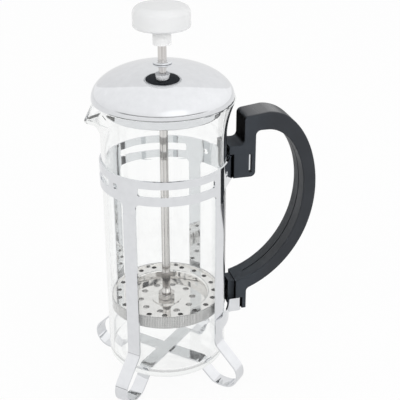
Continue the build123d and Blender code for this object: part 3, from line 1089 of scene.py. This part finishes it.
@dataclass(frozen=True)
class Softbox:
    """One round soft box: where it hangs, how wide it is and its power."""

    name: str
    place: Point
    size: float
    power: float

    def hang(self, target: Point) -> None:
        """Hang the soft box facing a point; polished metal shows the white room, not the lamp.

        Args:
            target: the point the lamp faces.
        """
        data = bpy.data.lights.new(self.name, "AREA")
        data.shape = "DISK"
        data.size = self.size
        data.energy = self.power
        lamp = bpy.data.objects.new(self.name, data)
        bpy.context.scene.collection.objects.link(lamp)
        lamp.location = self.place
        aim = Vector(target) - Vector(self.place)
        lamp.rotation_euler = aim.to_track_quat("-Z", "Y").to_euler()
        lamp.visible_glossy = False


@dataclass(frozen=True)
class Patch:
    """A round patch on the reflected room.

    It has a brightness, an angle clockwise from straight ahead of the camera and one above the floor, an angle
    from its middle to its edge, all in degrees, and a softness of the edge.
    """

    level: float
    turn: float
    rise: float
    spread: float
    blur: float


@dataclass
class Studio:
    """A white sweep, three soft boxes, a white room and the camera at the photograph's angle."""

    focal_px: float = 900.0
    frame_px: float = 400.0
    sensor: float = 36.0
    pitch: float = 25.10
    turn: float = -15.0
    offset: float = 20.1
    distance: float = 465.9
    height: float = 330.2
    floor_size: float = 6.0
    floor_color: Color = (0.93, 0.93, 0.93)
    floor_fleck: float = 0.98
    floor_grain: float = 40.0
    floor_glow: float = 0.94
    floor_shine: float = 0.55
    ambient: float = 0.60
    room_wall: float = 1.10
    room_slope: float = 0.07
    room_foot: float = 0.93
    room_foot_top: float = 0.45
    backdrop: Patch = Patch(level=0.935, turn=0.0, rise=28.0, spread=37.0, blur=0.01)
    window: Patch = Patch(level=1.32, turn=159.0, rise=14.0, spread=22.0, blur=0.06)
    front_gap: float = 0.45
    front_gap_height: Range = (0.075, 0.06)
    front_gap_side: Range = (0.2, 0.5)
    aim: Point = (0.0, 0.0, 0.11)
    lamps: tuple[Softbox, ...] = (
        Softbox("key_softbox", place=(1.9, -2.7, 1.2), size=1.8, power=36.0),
        Softbox("fill_softbox", place=(-2.6, -1.4, 1.3), size=1.6, power=24.0),
        Softbox("top_softbox", place=(0.5, 0.4, 3.2), size=2.4, power=14.5),
    )

    def place_camera(self) -> None:
        """Set the camera where the photographed circles say it stood."""
        data = bpy.data.cameras.new("camera")
        data.sensor_width = self.sensor
        data.lens = self.focal_px / self.frame_px * self.sensor
        camera = bpy.data.objects.new("camera", data)
        bpy.context.scene.collection.objects.link(camera)
        turn = math.radians(self.turn)
        side = self.offset * MM
        back = -self.distance * MM
        camera.location = (
            side * math.cos(turn) - back * math.sin(turn),
            side * math.sin(turn) + back * math.cos(turn),
            self.height * MM,
        )
        camera.rotation_euler = (math.radians(90.0 - self.pitch), 0.0, turn)
        bpy.context.scene.camera = camera

    def toward(self, turn: float, rise: float = 0.0) -> Point:
        """Return a direction in the world, given as the camera's place sees it.

        Args:
            turn: angle clockwise from straight ahead, in degrees.
            rise: angle above the floor, in degrees.

        Returns:
            A unit vector in the world.
        """
        around = math.radians(turn - self.turn)
        up = math.radians(rise)
        return (math.cos(up) * math.sin(around), math.cos(up) * math.cos(around), math.sin(up))

    def lay_patch(self, graph: Graph, direction: Socket, below: Value, patch: Patch) -> Socket:
        """Lay a round patch over what lies below it.

        Args:
            graph: the world's node tree.
            direction: the direction looked in.
            below: the brightness without the patch.
            patch: the patch.

        Returns:
            The brightness with the patch.
        """
        near = graph.along(direction, self.toward(patch.turn, patch.rise))
        edge = math.cos(math.radians(patch.spread))
        inside = graph.map_range(near, (edge - patch.blur, edge + patch.blur), shape="SMOOTHSTEP")
        return graph.mix(inside, below, patch.level)

    def room_light(self, graph: Graph, direction: Socket) -> Socket:
        """How the room varies: brighter to the right, dimmer low down, with a dark gap low on the camera's side.

        Args:
            graph: the world's node tree.
            direction: the direction looked in.

        Returns:
            The share of the walls' brightness.
        """
        right = graph.along(direction, self.toward(TO_THE_RIGHT))
        slope = graph.math("MULTIPLY_ADD", right, self.room_slope, 1.0)
        height = graph.axes(direction)["Z"]
        rise = graph.between(height, 0.0, self.room_foot_top)
        low = graph.math("MULTIPLY_ADD", rise, 1.0 - self.room_foot, self.room_foot)
        front = graph.along(direction, self.toward(BEHIND_THE_CAMERA))
        under = graph.between(height, *self.front_gap_height)
        gap = graph.math("MULTIPLY", under, graph.between(front, *self.front_gap_side))
        open_share = graph.math("MULTIPLY_ADD", gap, self.front_gap - 1.0, 1.0)
        return graph.math("MULTIPLY", graph.math("MULTIPLY", slope, low), open_share)

    def room(self) -> None:
        """Set the white room: even light, white to the eye, with a backdrop and a window in what is polished."""
        world = bpy.data.worlds.new("studio_world")
        bpy.context.scene.world = world
        world.use_nodes = True
        graph = Graph(world.node_tree)
        background = world.node_tree.nodes["Background"]
        background.inputs["Color"].default_value = (1.0, 1.0, 1.0, 1.0)
        path = graph.node("LightPath")
        direction = graph.node("TexCoord").outputs["Generated"]
        walls: Value = self.room_wall
        for patch in (self.backdrop, self.window):
            walls = self.lay_patch(graph, direction, walls, patch)
        reflected = graph.math("MULTIPLY", walls, self.room_light(graph, direction))
        unseen = graph.mix(path.outputs["Is Glossy Ray"], self.ambient, reflected)
        graph.link(graph.mix(graph.seen(path), unseen, 1.0), background.inputs["Strength"])

    def floor(self) -> None:
        """Lay the pale floor under the feet; it is white to the eye and in metal and glass, and keeps a shadow."""
        Bench.clear()
        bpy.ops.mesh.primitive_plane_add(size=self.floor_size, location=(0.0, 0.0, 0.0))
        floor = bpy.context.object
        floor.name = "studio_floor"
        graph = MaterialGraph("floor_paper")
        paper = graph.node("BsdfDiffuse")
        grain = graph.noise(graph.object_point(), self.floor_grain, detail=2.0)
        fleck = tuple(self.floor_fleck * part for part in self.floor_color)
        graph.link(graph.noise_ramp(grain, fleck, self.floor_color), paper.inputs["Color"])
        white = graph.node("Emission", Strength=1.0)
        path = graph.node("LightPath")
        bright = graph.math("MULTIPLY", graph.seen(path), self.floor_glow)
        polished = graph.math("MULTIPLY", path.outputs["Is Glossy Ray"], self.floor_shine)
        share = graph.math("MAXIMUM", bright, polished)
        Bench.coat(floor, graph.close(graph.mix_shaders(share, paper, white)))

    def build(self) -> None:
        """Set up floor, lights, camera and plain colour handling."""
        self.floor()
        self.room()
        for lamp in self.lamps:
            lamp.hang(self.aim)
        self.place_camera()
        bpy.context.scene.view_settings.view_transform = "Standard"


def main() -> None:
    """Load the frame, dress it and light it."""
    logging.basicConfig(level=logging.INFO, format="%(name)s: %(message)s")
    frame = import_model()
    nodes: dict[str, bpy.types.Object] = frame["nodes"]
    finishes = Finishes.make()
    for kind in (Stand, Beaker, Lid, Plunger):
        part = kind(nodes, finishes)
        part.build()
        part.dress()
    Studio().build()


if __name__ == "__main__":
    main()
